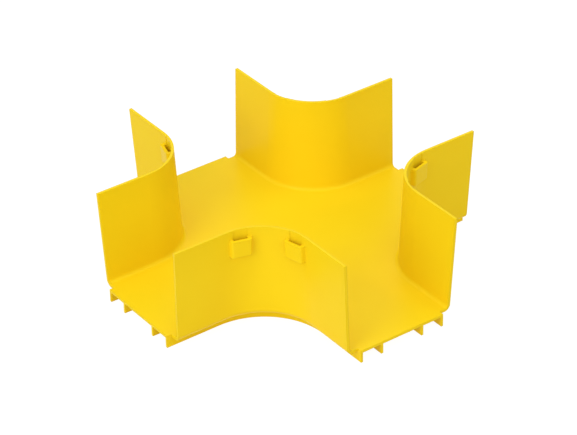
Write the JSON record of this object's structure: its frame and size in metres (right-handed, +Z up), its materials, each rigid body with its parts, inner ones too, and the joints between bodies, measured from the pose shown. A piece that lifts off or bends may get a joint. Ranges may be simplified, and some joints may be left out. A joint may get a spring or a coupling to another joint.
{
  "type": "fibre raceway cross fitting",
  "caption": "Open-topped four-way cross fitting of a yellow plastic fibre raceway, with flared U-channel arms, rounded corner walls, cover pockets and ribs under the floor.",
  "frame": {"origin": "centre of the cross in plan, at the level of the rib feet that the fitting rests on", "axes": "+X and +Y run along two neighbouring arms, +Z is up through the open top of the channels"},
  "size_m": [0.3114, 0.3114, 0.099],
  "materials": {
    "yellow_plastic": "satin"
  },
  "bodies": {
    "root": {"cross_fitting": "yellow_plastic"}
  },
  "joints": []
}
